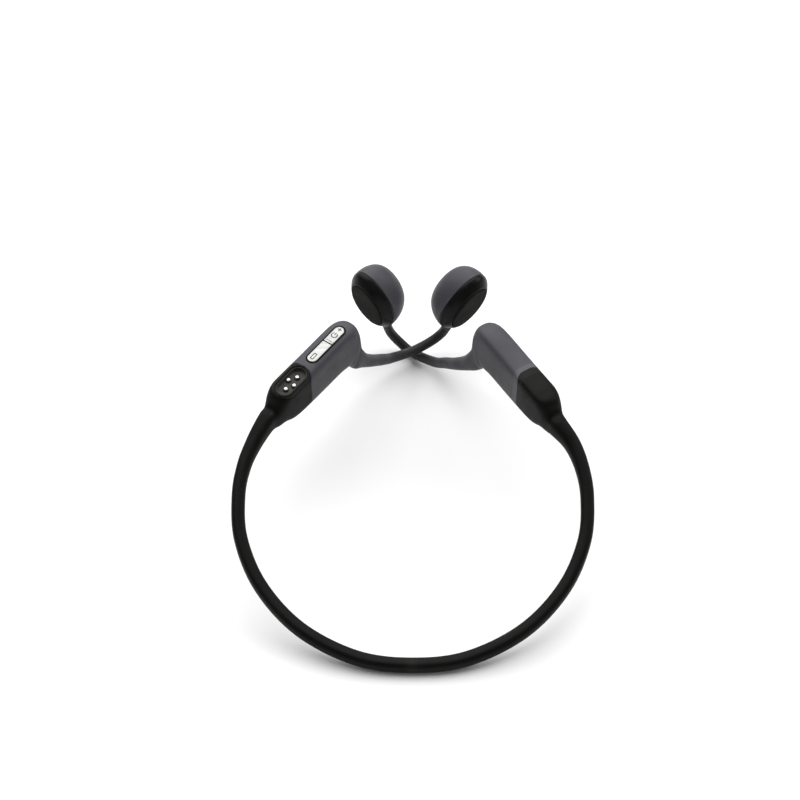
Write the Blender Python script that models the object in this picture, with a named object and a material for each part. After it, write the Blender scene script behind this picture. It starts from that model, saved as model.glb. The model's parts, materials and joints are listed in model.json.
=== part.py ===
"""Bone conduction headphones, standing on their worn-top edge with the two ear hooks crossed.

A sprung neckband loop joins two slim pods.  A hook runs from the front of each pod, down over
where the ear would be and up to an egg-shaped transducer with a flat contact pad.  The loop lies
in a plane that rises from the nape to the pods, so the object rests on the nape and on the hooks.
Lengths below are millimetres: x is outward from the middle plane, y runs forward from the nape
and z is up.  SIDE mirrors that onto the wearer's right (-X) and left (+X).
"""
import math

import bpy
import bmesh
from mathutils import Matrix, Vector

MM = 0.001
GAP = 0.3                                   # clearance between neighbouring pieces
SIDE = {"right": -1.0, "left": 1.0}
ORIGIN = Vector((0.0, 73.27, 0.29))         # under the middle of the object's box

# ---- driving dimensions -------------------------------------------------------------------
BAND_HALF = (2.2, 2.35)                     # neckband section: half thickness, half height
BAND_SWELL = [(2.3, 2.5), (2.6, 2.8)]       # the same for its last rows, where it meets a pod
BAND_ROUND = (2.6, 2.6)                     # section exponents for the sides and the edges
POD_MID = {"right": Vector((28.8, 101.4, 34.8)), "left": Vector((30.2, 100.5, 34.8))}
POD_TOE = {"right": 53.4, "left": 57.0}     # pod axes, in degrees turned in from the x axis
POD_TILT = 3.0                              # pod axes rise toward the front, in degrees
POD_ROUND = (3.8, 7.0)                      # 2 is an ellipse, more is squarer
NOSE_ROUND = (2.7, 3.6)
HOOK_ROUND = (2.2, 2.2)
SKIN_WALL = 1.0                             # silicone over the pod
CASE_WALL = 0.75                            # hard case inside the silicone
PARTING_U = -12.9                           # black tail meets the grey pod, at mid height
FLEX_END = 24.0                             # length of neckband, each side of the nape, that bends
WIRE_RADIUS = 0.45                          # spring wire and cable of the neckband
LANE = 0.75                                 # they lie this far each side of the centre
HOOK_WIRE_RADIUS = 0.2
HOOK_LANE = 0.38
HOOK_WIRE_START = 10.6                      # along the pod
CASE_SPAN = (-22.5, 9.0)                    # hard case, along the pod
SEAM_STATIONS = 0.018                       # half the gap at the parting, as a share of a row's spacing
NAPE_STATIONS = 0.008                       # the same at the middle of the nape

EGG_LENGTH, EGG_WIDTH = 12.2, 8.5           # transducer outline, half sizes
EGG_FLARE = -0.03                           # outline is slightly wider at the hook's end
EGG_BACK, EGG_FRONT = 9.7, 4.5              # depth behind and ahead of the parting line
EGG_WALL = 1.2
PAD_SCALE = 0.72                            # pad outline, as a share of the transducer's
BEZEL_SCALE = 0.756                         # bezel's inner outline
DOME_END = 84.0                             # degrees round the dome where its flat pole begins
BEZEL_SLOPE = ((0.97, 1.7), (0.81, EGG_FRONT - 0.6))

KEY_HALF_LENGTH, KEY_HALF_WIDTH = 8.75, 1.8
KEY_CENTRE_U, KEY_CENTRE_V = 0.1, 0.5       # along the pod and inward, from its middle
KEY_DIVIDE = 0.9                            # gap between the two keys, from the strip's middle
KEY_PROUD = 0.25
PORT_CENTRE_U, PORT_CENTRE_V = -18.2, 0.75
PORT_HALF_LENGTH, PORT_HALF_WIDTH = 6.4, 2.9
PORT_DEPTH = 1.5
PORT_ROLL = 5.0                             # degrees that the recess leans inward
PORT_SINK = 0.25                            # recess plane below the pod's top edge
PINS = ((2.9, -0.05), (0.35, 1.5), (-0.25, -1.35), (-3.0, -0.1))

AXIS, UP, INWARD = {}, {}, {}
for side_name, toe_angle in POD_TOE.items():
    toe, tilt = math.radians(toe_angle), math.radians(POD_TILT)
    level = Vector((-math.cos(toe), math.sin(toe), 0.0))
    AXIS[side_name] = level * math.cos(tilt) + Vector((0.0, 0.0, math.sin(tilt)))
    UP[side_name] = -level * math.sin(tilt) + Vector((0.0, 0.0, math.cos(tilt)))
    INWARD[side_name] = Vector((-level.y, level.x, 0.0))

# neckband centre line, nape to pod
BAND = [(0.0, 2.8, 2.61), (17.5, 4.9, 3.46), (35.0, 13.2, 6.81), (47.6, 25.8, 11.9),
        (54.3, 40.0, 17.64), (55.5, 53.1, 22.93), (54.1, 62.2, 26.61), (51.2, 69.4, 29.52)]

# pod sections: upper edge (along, up), lower edge (along, up), inward shift, half thickness
POD = [((-31.5, 2.5), (-31.5, -4.5), 0.1, 2.9), ((-28.0, 2.9), (-28.0, -5.3), 0.1, 3.3),
       ((-25.0, 4.5), (-25.0, -5.7), 0.1, 4.1), ((-22.0, 7.6), (-22.0, -6.1), 0.0, 4.6),
       ((-18.0, 7.7), (-18.0, -6.8), 0.0, 4.7), ((-8.0, 7.7), (-8.0, -7.5), 0.0, 4.6),
       ((2.5, 7.7), (2.0, -7.7), 0.0, 4.6), ((9.0, 7.5), (5.2, -8.3), 0.1, 4.5),
       ((12.9, 6.3), (7.3, -9.4), 0.3, 4.3), ((13.8, 3.4), (8.5, -10.6), 0.7, 4.0),
       ((14.1, 0.1), (9.3, -11.9), 1.2, 3.3), ((14.3, -5.3), (10.1, -13.1), 1.8, 2.9)]
POD_STRAIGHT = (3, 7)                       # first and last of the rows with the full corner shape

# hook centre lines; the right one passes over the left one
HOOK = {
    "right": [(17.6, 113.2, 21.5), (14.5, 115.9, 18.0), (10.7, 120.6, 13.3), (7.4, 125.0, 9.3),
              (0.7, 130.1, 7.0), (-5.4, 133.2, 8.3), (-9.4, 134.6, 11.2), (-11.4, 133.9, 15.8)],
    "left": [(18.6, 112.6, 20.9), (14.5, 115.6, 16.9), (11.0, 120.6, 11.7), (7.0, 126.6, 5.5),
             (-0.3, 133.6, 2.3), (-5.0, 136.8, 4.4), (-8.2, 137.4, 8.9), (-9.6, 136.2, 14.8)],
}
HOOK_HALVES = [2.7, 2.1, 1.9, 1.7, 1.6, 1.6, 1.6, 1.6]

# transducers: middle of the parting line, long axis and pad direction, in each side's own x
EGG_CENTRE = {"right": (-16.4, 135.4, 27.4), "left": (-13.4, 136.0, 27.6)}
EGG_ALONG = {"right": (-0.508, 0.157, 0.94), "left": (-0.309, 0.056, 0.955)}
PAD_FACES = {"right": (-0.677, -0.729, -0.106), "left": (-0.685, -0.725, -0.072)}

parts = bpy.data.collections.new("bone_conduction_headphones")
cutters = bpy.data.collections.new("cutters")


def clear_scene():
    for thing in list(bpy.data.objects):
        bpy.data.objects.remove(thing, do_unlink=True)
    for group in (parts, cutters):
        bpy.context.scene.collection.children.link(group)


def finish(name, colour, roughness, metallic=0.0):
    """A material for one piece."""
    material = bpy.data.materials.new(name)
    material.use_nodes = True
    shader = material.node_tree.nodes["Principled BSDF"]
    shader.inputs["Base Color"].default_value = (*colour, 1.0)
    shader.inputs["Roughness"].default_value = roughness
    shader.inputs["Metallic"].default_value = metallic
    return material


FINISH = {
    "grey": ("grey_silicone", (0.12, 0.12, 0.13), 0.55),
    "black": ("black_silicone", (0.02, 0.02, 0.02), 0.5),
    "case": ("case_plastic", (0.06, 0.06, 0.065), 0.5),
    "pad": ("pad_silicone", (0.03, 0.03, 0.028), 0.8),
    "metal": ("spring_metal", (0.6, 0.58, 0.55), 0.35, 1.0),
    "key": ("key_metal", (0.8, 0.8, 0.79), 0.25, 1.0),
    "board": ("circuit_board", (0.02, 0.12, 0.05), 0.5),
    "chip": ("chip_epoxy", (0.02, 0.02, 0.02), 0.4),
    "cell": ("cell_foil", (0.5, 0.5, 0.52), 0.35, 0.8),
    "copper": ("copper_wire", (0.75, 0.35, 0.2), 0.3, 1.0),
    "cable": ("cable_jacket", (0.25, 0.05, 0.05), 0.5),
    "dish": ("dish_plastic", (0.1, 0.1, 0.095), 0.5),
    "magnet": ("plated_magnet", (0.6, 0.6, 0.6), 0.25, 1.0),
}


def add(name, mesh, colour, group=None):
    """Put a mesh, in millimetres in the row frame, into the scene as one named piece."""
    mesh.transform(Matrix.Scale(MM, 4) @ Matrix.Translation(-ORIGIN))
    thing = bpy.data.objects.new(name, mesh)
    mesh.materials.append(finish(*FINISH[colour]))
    (group or parts).objects.link(thing)
    if group is cutters:
        thing.hide_render = True
        thing.display_type = "WIRE"
    mesh.shade_smooth()
    mesh.set_sharp_from_angle(angle=math.radians(35))
    return thing


def from_bmesh(name, shape, colour, group=None):
    bmesh.ops.recalc_face_normals(shape, faces=shape.faces)
    mesh = bpy.data.meshes.new(name)
    shape.to_mesh(mesh)
    shape.free()
    return add(name, mesh, colour, group)


def skin_rings(name, rings, colour, closed=False, group=None):
    """Loft through rings of equal count: capped at both ends, or closed into a sleeve."""
    shape = bmesh.new()
    loops = [[shape.verts.new(p) for p in ring] for ring in rings]
    count = len(loops[0])
    pairs = list(zip(loops, loops[1:]))
    if closed:
        pairs.append((loops[-1], loops[0]))
    for lower, upper in pairs:
        for i in range(count):
            j = (i + 1) % count
            shape.faces.new((lower[i], lower[j], upper[j], upper[i]))
    if not closed:
        shape.faces.new(loops[0])
        shape.faces.new(loops[-1])
    return from_bmesh(name, shape, colour, group)


# ---- the half: one smooth centre line with a changing section -------------------------------
def pod_point(side, u, v, w):
    return POD_MID[side] + AXIS[side] * u + INWARD[side] * v + UP[side] * w


def path_rows(points, before, after):
    """Frames along a run of centre points: (centre, outward, upright) for each."""
    line = [before] + points + [after]
    rows = []
    for i in range(1, len(line) - 1):
        along = (line[i + 1] - line[i - 1]).normalized()
        outward = Vector((along.y, -along.x, 0.0)).normalized()
        rows.append((line[i], outward, outward.cross(along)))
    return rows


def pod_rows(side):
    """Frames of the pod's sections, each between its upper and its lower edge."""
    rows = []
    for (upper_u, upper_w), (lower_u, lower_w), inward, thick in POD:
        upper = pod_point(side, upper_u, inward, upper_w)
        lower = pod_point(side, lower_u, inward, lower_w)
        rows.append(((upper + lower) / 2, -INWARD[side], (upper - lower).normalized(), thick,
                     (upper - lower).length / 2))
    return rows


def stations(side):
    """(centre, outward, upright, half thickness, half height, exponents) down the half."""
    pod = pod_rows(side)
    band = [Vector(p) for p in BAND]
    hook = [Vector(p) for p in HOOK[side]]
    nape = Vector((-band[1].x, band[1].y, band[1].z))
    halves = [BAND_HALF] * (len(BAND) - len(BAND_SWELL)) + BAND_SWELL
    rows = [(*frame, *half, *BAND_ROUND)
            for frame, half in zip(path_rows(band, nape, pod[0][0]), halves)]
    for k, row in enumerate(pod):
        straight = POD_STRAIGHT[0] <= k <= POD_STRAIGHT[1]
        rows.append((*row, *(POD_ROUND if straight else NOSE_ROUND)))
    beyond = hook[-1] + Vector(EGG_ALONG[side]) * 5.0
    for frame, half in zip(path_rows(hook, pod[-1][0], beyond), HOOK_HALVES):
        rows.append((*frame, half, half, *HOOK_ROUND))
    return rows


def blend_cubic(a, b, c, d, t):
    """Catmull-Rom between b and c."""
    return 0.5 * ((2 * b) + (c - a) * t + (2 * a - 5 * b + 4 * c - d) * t * t
                  + (3 * b - a - 3 * c + d) * t * t * t)


class Half:
    """The centre line of one side, with sections that the skins, case and wires are drawn from."""

    def __init__(self, side):
        self.mirror = SIDE[side]
        rows = stations(side)
        flip = Vector((-1.0, 1.0, 1.0))
        second, last = rows[1], rows[-1]
        before = (second[0] * flip, second[1] * flip, second[2] * flip, *second[3:])
        after = (last[0] * 2 - rows[-2][0], *last[1:])
        self.rows = [before] + rows + [after]
        self.count = len(rows)
        self.pod_first = len(BAND)
        self.hook_first = len(BAND) + len(POD)
        self.length = [0.0]
        for i in range(1, self.count):
            self.length.append(self.length[-1] + (rows[i][0] - rows[i - 1][0]).length)

    def station_of_length(self, length):
        """Station number, with its fraction, at a distance along the line from the nape."""
        for i in range(1, self.count):
            if length <= self.length[i]:
                span = self.length[i] - self.length[i - 1]
                return i - 1 + (length - self.length[i - 1]) / span
        return self.count - 1.0

    def station_of_pod(self, u):
        """Station number where the pod's upper edge is u along its axis."""
        for i, (a, b) in enumerate(zip(POD, POD[1:])):
            if u <= b[0][0]:
                return self.pod_first + i + (u - a[0][0]) / (b[0][0] - a[0][0])
        return self.hook_first - 1.0

    def value(self, station, index):
        i = min(max(int(station), 0), self.count - 2)
        return blend_cubic(*(self.rows[i + k][index] for k in range(4)), station - i)

    def frame(self, station):
        """Centre, direction, outward side and upright side of the section."""
        outward = self.value(station, 1).normalized()
        upright = self.value(station, 2)
        along = upright.cross(outward).normalized()
        return self.value(station, 0), along, outward, outward.cross(along)

    def place(self, p):
        return Vector((p.x * self.mirror, p.y, p.z))

    def ring(self, station, inset=0.0, sides=16, least=0.6, offset=None):
        """Section outline, as points in the row frame; offset(angle) shifts points by stations."""
        points = []
        for k in range(sides):
            angle = 2 * math.pi * (k + 0.5) / sides
            at = station + (offset(angle) if offset else 0.0)
            centre, _, outward, upright = self.frame(at)
            thick = max(self.value(at, 3) - inset, least)
            tall = max(self.value(at, 4) - inset, least)
            corner, crown = 2.0 / self.value(at, 5), 2.0 / self.value(at, 6)
            c, s = math.cos(angle), math.sin(angle)
            p = (centre + outward * thick * math.copysign(abs(c) ** corner, c)
                 + upright * tall * math.copysign(abs(s) ** crown, s))
            points.append(self.place(p))
        return points

    def line(self, first, last, steps, lift):
        """Points along the half, lifted within the section."""
        points = []
        for k in range(steps + 1):
            centre, _, _, upright = self.frame(first + (last - first) * k / steps)
            points.append(self.place(centre + upright * lift))
        return points


def spread(first, last, pace):
    """Station numbers from first to last, about pace to a station, both ends included."""
    steps = max(1, round((last - first) * pace))
    return [first + (last - first) * k / steps for k in range(steps + 1)]


def sleeve(name, half, first, last, wall, colour, pace=2, sides=16, inset=0.0, ends=(None, None), least=0.6):
    """A hollow skin: the outer surface from first to last, and the inner one back again."""
    places = spread(first, last, pace)

    def shift(k):
        if k == 0:
            return ends[0]
        return ends[1] if k == len(places) - 1 else None

    outer = [half.ring(s, inset, sides, least + wall, shift(k)) for k, s in enumerate(places)]
    inner = [half.ring(s, inset + wall, sides, least, shift(k)) for k, s in enumerate(places)]
    return skin_rings(name, outer + inner[::-1], colour, closed=True)


def tube(name, points, radius, colour):
    """A round wire or cable through the points, as a mesh."""
    curve = bpy.data.curves.new(name, "CURVE")
    curve.dimensions = "3D"
    curve.bevel_depth = radius
    curve.bevel_resolution = 1
    curve.use_fill_caps = True
    spline = curve.splines.new("POLY")
    spline.points.add(len(points) - 1)
    for point, place in zip(spline.points, points):
        point.co = (*place, 1.0)
    holder = bpy.data.objects.new(name + "_path", curve)
    parts.objects.link(holder)
    mesh = bpy.data.meshes.new_from_object(holder.evaluated_get(bpy.context.evaluated_depsgraph_get()))
    bpy.data.objects.remove(holder, do_unlink=True)
    shape = bmesh.new()
    shape.from_mesh(mesh)
    bmesh.ops.remove_doubles(shape, verts=shape.verts, dist=0.001)
    return from_bmesh(name, shape, colour)


def frame_matrix(origin, x, y, z):
    return Matrix.Translation(origin) @ Matrix((x, y, z)).transposed().to_4x4()


def pod_matrix(side, u, v, w, roll=0.0):
    """Frame in a pod: x along it, y outward across it, z up and leaning inward by roll degrees."""
    flip = Vector((SIDE[side], 1.0, 1.0))
    along, up = AXIS[side] * flip, UP[side] * flip
    place = frame_matrix(pod_point(side, u, v, w) * flip, along, up.cross(along), up)
    return place @ Matrix.Rotation(math.radians(roll), 4, "X")


def block(name, matrix, size, colour, bevel=0.0):
    shape = bmesh.new()
    bmesh.ops.create_cube(shape, size=1.0)
    bmesh.ops.scale(shape, vec=size, verts=shape.verts)
    if bevel:
        bmesh.ops.bevel(shape, geom=shape.edges[:], offset=bevel, segments=2, profile=0.5,
                        affect="EDGES")
    bmesh.ops.transform(shape, matrix=matrix, verts=shape.verts)
    return from_bmesh(name, shape, colour)


def drum(name, matrix, radius, low, high, colour, sides=24, group=None):
    """A cylinder along the frame's z, from low to high."""
    shape = bmesh.new()
    middle = Matrix.Translation((0.0, 0.0, (low + high) / 2))
    bmesh.ops.create_cone(shape, cap_ends=True, segments=sides, radius1=radius, radius2=radius,
                          depth=high - low)
    bmesh.ops.transform(shape, matrix=matrix @ middle, verts=shape.verts)
    return from_bmesh(name, shape, colour, group)


def stadium(half_length, half_width, steps=8):
    """Outline with two straight sides and two round ends, anticlockwise."""
    straight = half_length - half_width
    points = []
    for end in (0, 1):
        for k in range(steps + 1):
            angle = math.pi * (end - 0.5) + math.pi * k / steps
            centre = straight if end == 0 else -straight
            points.append((centre + half_width * math.cos(angle), half_width * math.sin(angle)))
    return points


def prism(name, matrix, outline, low, high, colour, group=None, crown=0.0, taper=0.0):
    """An outline raised from low to high, with an optional crowned top."""
    half = max(abs(y) for _, y in outline)
    levels = [(low, 1.0), (high, 1.0)]
    if crown:
        levels = [(low, 1.0), (high - crown, 1.0), (high - crown * 0.35, 1.0 - taper),
                  (high, 1.0 - 2.6 * taper)]
    rings = []
    for level, shrink in levels:
        margin = half * (1.0 - shrink)
        ring = []
        for x, y in outline:
            reach = math.hypot(x, y) or 1.0
            ring.append(matrix @ Vector((x - margin * x / reach, y - margin * y / half, level)))
        rings.append(ring)
    return skin_rings(name, rings, colour, group=group)


def ring_prism(name, matrix, outer, inner, low, high, colour):
    """A frame between two outlines of equal count."""
    rings = [[matrix @ Vector((x, y, z)) for x, y in outline]
             for outline, z in ((outer, low), (outer, high), (inner, high), (inner, low))]
    return skin_rings(name, rings, colour, closed=True)


def cut(thing, cutter):
    modifier = thing.modifiers.new("cut_" + cutter.name, "BOOLEAN")
    modifier.operation = "DIFFERENCE"
    modifier.solver = "EXACT"
    modifier.object = cutter


# ---- transducers ------------------------------------------------------------------------------
def egg_matrix(side):
    """Frame of a transducer: x along the egg, y across it, z out of the pad."""
    flip = Vector((SIDE[side], 1.0, 1.0))
    along = Vector(EGG_ALONG[side]).normalized()
    out = Vector(PAD_FACES[side])
    out = (out - along * out.dot(along)).normalized()
    along, out = along * flip, out * flip
    return frame_matrix(Vector(EGG_CENTRE[side]) * flip, along, out.cross(along), out)


def egg_outline(scale, sides=32):
    points = []
    for k in range(sides):
        angle = 2 * math.pi * k / sides
        c, s = math.cos(angle), math.sin(angle)
        points.append((EGG_LENGTH * scale * c, EGG_WIDTH * scale * s * (1.0 + EGG_FLARE * c)))
    return points


def egg_solid(name, matrix, profile, colour, closed=False, group=None, sides=32):
    """Egg-shaped rings (scale, height) joined up; closed makes it a ring-shaped piece."""
    rings = [[matrix @ Vector((x, y, z)) for x, y in egg_outline(scale, sides)]
             for scale, z in profile]
    return skin_rings(name, rings, colour, closed=closed, group=group)


def dome(depth, rim, scale=1.0, steps=6):
    """(scale, height) down a rounded back, from the rim to a small flat at the pole."""
    rows = []
    last = math.radians(DOME_END)
    for k in range(steps + 1):
        angle = last * k / steps
        drop = (rim + depth) * math.sin(angle) / math.sin(last)
        rows.append((scale * math.cos(angle) ** 0.65, rim - drop))
    return rows


def build_transducer(side, half):
    m = egg_matrix(side)
    rim = -GAP / 2
    outer = dome(EGG_BACK, rim)
    inner = dome(EGG_BACK - EGG_WALL, rim, scale=0.87)
    shell = egg_solid(side + "_transducer_shell", m, outer[::-1] + inner, "grey")
    bezel = [(1.0, GAP / 2), (1.0, 0.5), *BEZEL_SLOPE, (BEZEL_SCALE, EGG_FRONT - 0.6),
             (BEZEL_SCALE, 2.2), (0.86, 1.2), (0.87, GAP / 2)]
    egg_solid(side + "_transducer_bezel", m, bezel, "black", closed=True)
    pad = [(PAD_SCALE - 0.05, 1.9), (PAD_SCALE - 0.01, 1.9), (PAD_SCALE, EGG_FRONT - 0.35),
           (PAD_SCALE - 0.035, EGG_FRONT)]
    egg_solid(side + "_contact_pad", m, pad, "pad", sides=24)
    drum(side + "_yoke", m, 5.0, -5.2, -4.2, "metal")
    drum(side + "_magnet", m, 3.4, -3.9, -1.9, "magnet")
    ring = [(5.0, -3.9), (5.0, -1.2), (3.9, -1.2), (3.9, -3.9)]
    turned(side + "_voice_coil", m, ring, "copper")
    egg_solid(side + "_spring_plate", m, [(0.72, -0.6), (0.72, 0.0)], "metal", sides=24)
    drum(side + "_drive_plate", m, 4.2, 0.3, 1.5, "metal", sides=20)
    end, along, _, _ = half.frame(half.count - 1.0)
    end = half.place(end)
    along = Vector((along.x * half.mirror, along.y, along.z))
    side_axis = along.orthogonal().normalized()
    entry_matrix = frame_matrix(end, side_axis, along.cross(side_axis), along)
    entry = drum(side + "_hook_entry_cutter", entry_matrix, 1.25, -3.0, 3.6, "case",
                 sides=16, group=cutters)
    cut(shell, entry)
    grown = [(s + 0.035, h) for s, h in dome(EGG_BACK + GAP, 0.6)]
    front = [(s + 0.035, h + GAP) for s, h in BEZEL_SLOPE]
    return egg_solid(side + "_egg_cutter", m, grown[::-1] + front, "case", group=cutters), m


def turned(name, matrix, profile, colour, sides=24):
    """A ring turned about the frame's z."""
    rings = []
    for radius, height in profile:
        rings.append([matrix @ Vector((radius * math.cos(2 * math.pi * k / sides),
                                       radius * math.sin(2 * math.pi * k / sides), height))
                      for k in range(sides)])
    return skin_rings(name, rings, colour, closed=True)


# ---- skins, case, wires -------------------------------------------------------------------------
def parting(angle):
    """The grey skin reaches further back low on the pod than on its key edge."""
    lean = math.sin(angle)
    return 0.13 * lean + 0.05 * max(lean, 0.0) ** 4


def build_side(side):
    half = Half(side)
    flex = half.station_of_length(FLEX_END)
    part_line = half.station_of_pod(PARTING_U)
    end = half.count - 1.0
    tail_skin = sleeve(side + "_neckband_skin", half, flex + 0.01, part_line - SEAM_STATIONS,
                       SKIN_WALL, "black", pace=3, ends=(None, parting), least=0.8)
    pod_skin = sleeve(side + "_pod_skin", half, part_line + SEAM_STATIONS, end, SKIN_WALL, "grey",
                      ends=(parting, None), least=0.75)
    egg_cutter, m = build_transducer(side, half)
    cut(pod_skin, egg_cutter)
    case_first, case_last = (half.station_of_pod(u) for u in CASE_SPAN)
    case = sleeve(side + "_pod_case", half, case_first, case_last, CASE_WALL, "case",
                  inset=SKIN_WALL + GAP, pace=1)
    hook_start = half.station_of_pod(HOOK_WIRE_START)
    for label, lift, colour in (("wire", HOOK_LANE, "metal"), ("cable", -HOOK_LANE, "cable")):
        route = half.line(hook_start, end + 0.012, 22, lift)
        tube("%s_hook_%s" % (side, label), route, HOOK_WIRE_RADIUS, colour)
    return half, tail_skin, pod_skin, case


def build_neckband(halves):
    """The nape length that bends, and the wire and cable that run through the whole band."""
    lines = {}
    for side, half in halves.items():
        flex = half.station_of_length(FLEX_END)
        sleeve(side + "_nape_skin", half, NAPE_STATIONS, flex - 0.01, SKIN_WALL, "black", pace=4,
               least=0.8)
        stop = half.station_of_pod(-25.5)
        for label, lift in (("wire", LANE), ("cable", -LANE)):
            lines.setdefault(label, {})[side] = half.line(0.0, stop, 30, lift=lift)
    for label, colour in (("wire", "metal"), ("cable", "cable")):
        route = lines[label]["right"][::-1] + lines[label]["left"][1:]
        tube("neckband_" + label, route, WIRE_RADIUS, colour)


# ---- pod contents ------------------------------------------------------------------------------
def build_controls(tail_skin, pod_skin, case):
    """Keys, charging recess, board and chips of the wearer's right pod."""
    side = "right"
    top = POD[POD_STRAIGHT[0] + 2][0][1]
    keys = pod_matrix(side, KEY_CENTRE_U, KEY_CENTRE_V, top)
    slot = stadium(KEY_HALF_LENGTH + 2 * GAP, KEY_HALF_WIDTH + 2 * GAP)
    opening = stadium(KEY_HALF_LENGTH + GAP, KEY_HALF_WIDTH + GAP)
    clearance = stadium(KEY_HALF_LENGTH + 3 * GAP, KEY_HALF_WIDTH + 3 * GAP)
    cut(pod_skin, prism("key_slot_cutter", keys, clearance, -2.0, 2.0, "case", group=cutters))
    cut(case, prism("key_case_cutter", keys, slot, -3.6, 2.0, "case", group=cutters))
    ring_prism("key_bezel", keys, slot, opening, -1.0, 0.0, "black")
    for name, front in (("key_plus", True), ("key_minus", False)):
        prism(name, keys, half_stadium(front), -1.6, KEY_PROUD, "key", crown=0.5, taper=0.06)
    for name, u in (("key_plus_switch", 5.2), ("key_minus_switch", -4.2)):
        at = pod_matrix(side, KEY_CENTRE_U + u, KEY_CENTRE_V, top - 2.75)
        block(name, at, (3.0, 2.6, 0.9), "chip", bevel=0.15)
    at = pod_matrix(side, KEY_CENTRE_U, KEY_CENTRE_V, top - 3.8)
    block("key_board", at, (17.4, 3.0, 0.6), "board")
    port = pod_matrix(side, PORT_CENTRE_U, PORT_CENTRE_V, top - PORT_SINK, PORT_ROLL)
    clearance = stadium(PORT_HALF_LENGTH + GAP, PORT_HALF_WIDTH + GAP)
    port_cutter = prism("port_cutter", port, clearance, -3.4, 2.0, "case", group=cutters)
    cut(tail_skin, port_cutter)
    cut(case, port_cutter)
    dish = prism("charge_dish", port, stadium(PORT_HALF_LENGTH, PORT_HALF_WIDTH), -2.6, 0.0, "dish")
    hollow = stadium(PORT_HALF_LENGTH - 0.5, PORT_HALF_WIDTH - 0.5)
    cut(dish, prism("dish_hollow_cutter", port, hollow, -PORT_DEPTH, 1.0, "case", group=cutters))
    for number, (x, y) in enumerate(PINS, 1):
        at = port @ Matrix.Translation((x, y, 0.0))
        name = "pin_hole_cutter_%d" % number
        cut(dish, drum(name, at, 0.95, -4.0, 0.0, "case", sides=16, group=cutters))
        drum("charge_pin_%d" % number, at, 0.65, -3.0, -0.8, "key", sides=16)
    at = pod_matrix(side, PORT_CENTRE_U + 1.0, 0.0, top - 4.6)
    block("charge_board", at, (7.0, 2.6, 0.6), "board")
    block("main_board", pod_matrix(side, -5.0, 0.0, -1.0), (22.0, 0.6, 6.6), "board")
    block("radio_chip", pod_matrix(side, -1.0, 0.9, -1.2), (5.0, 0.6, 5.0), "chip")
    block("amplifier_chip", pod_matrix(side, -9.5, 0.9, -1.2), (3.5, 0.6, 3.5), "chip")
    block("charge_magnet", pod_matrix(side, -19.4, -1.0, -1.0), (3.0, 0.9, 5.2), "magnet")


def half_stadium(front):
    """The part of the key outline ahead of, or behind, the line between the keys."""
    outline = stadium(KEY_HALF_LENGTH, KEY_HALF_WIDTH)
    edge = KEY_DIVIDE + GAP / 2 if front else KEY_DIVIDE - GAP / 2
    kept = [(x, y) for x, y in outline if (x > edge) == front]
    ends = [(edge, KEY_HALF_WIDTH), (edge, -KEY_HALF_WIDTH)]
    if not front:
        return kept + ends[::-1]
    return kept + ends


def build_power():
    """Cell and protection board of the wearer's left pod."""
    side = "left"
    block("battery", pod_matrix(side, -4.6, 0.0, 0.3), (23.0, 3.2, 8.6), "cell", bevel=0.4)
    block("protection_board", pod_matrix(side, -18.8, 0.0, 0.5), (2.0, 3.0, 7.0), "board")


def build_function_key(m, shell):
    """The multifunction key on the outside of the wearer's left transducer."""
    hole = drum("function_hole_cutter", m, 3.0 + GAP, -12.0, -EGG_BACK + 2.2, "case", group=cutters)
    cut(shell, hole)
    drum("function_key", m, 3.0, -EGG_BACK - 0.15, -EGG_BACK + 1.3, "grey")
    drum("function_switch", m, 1.6, -EGG_BACK + 1.75, -5.5, "chip")


def joint_empty(name, place):
    """An empty on a joint's axis, for the pieces that turn about it."""
    empty = bpy.data.objects.new(name, None)
    empty.location = (place - ORIGIN) * MM
    parts.objects.link(empty)
    return empty


def hang(thing, empty):
    thing.parent = empty
    thing.matrix_parent_inverse = Matrix.Translation(-empty.location)


def centre_origin(thing):
    """Move a key's origin to its middle, on the line that it slides along."""
    corners = [Vector(corner) for corner in thing.bound_box]
    middle = sum(corners, Vector()) / len(corners)
    thing.data.transform(Matrix.Translation(-middle))
    thing.location = middle


def hang_right_half():
    """The right half turns about the nape, where the sprung wire bends."""
    nape = Vector(BAND[0])
    lift = joint_empty("neckband_lift_axis", nape)
    spread_axis = joint_empty("neckband_spread_axis", nape)
    hang(spread_axis, lift)
    right_pieces = [thing for thing in parts.objects if thing.type == "MESH" and belongs_right(thing.name)]
    for thing in right_pieces:
        hang(thing, lift if thing.name == "right_nape_skin" else spread_axis)


def belongs_right(name):
    fixed = ("left_", "neckband_", "battery", "protection_board", "function_")
    return not name.startswith(fixed)


def main():
    clear_scene()
    halves = {}
    skins = {}
    for side in SIDE:
        half, *covers = build_side(side)
        halves[side] = half
        skins[side] = covers
    build_neckband(halves)
    build_controls(*skins["right"])
    build_power()
    build_function_key(egg_matrix("left"), bpy.data.objects["left_transducer_shell"])
    for name in ("key_plus", "key_minus", "function_key"):
        centre_origin(bpy.data.objects[name])
    hang_right_half()


main()
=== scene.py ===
"""Looks of the bone conduction headphones: fine skins, metal keys, charging recess, transducers.

Shapes are drawn in millimetres in the design's own space, where x is outward from the middle
plane, y runs forward from the nape and z is up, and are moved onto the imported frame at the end.
"""
import json
import math

import bmesh
import bpy
import numpy as np
from mathutils import Matrix, Vector


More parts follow.
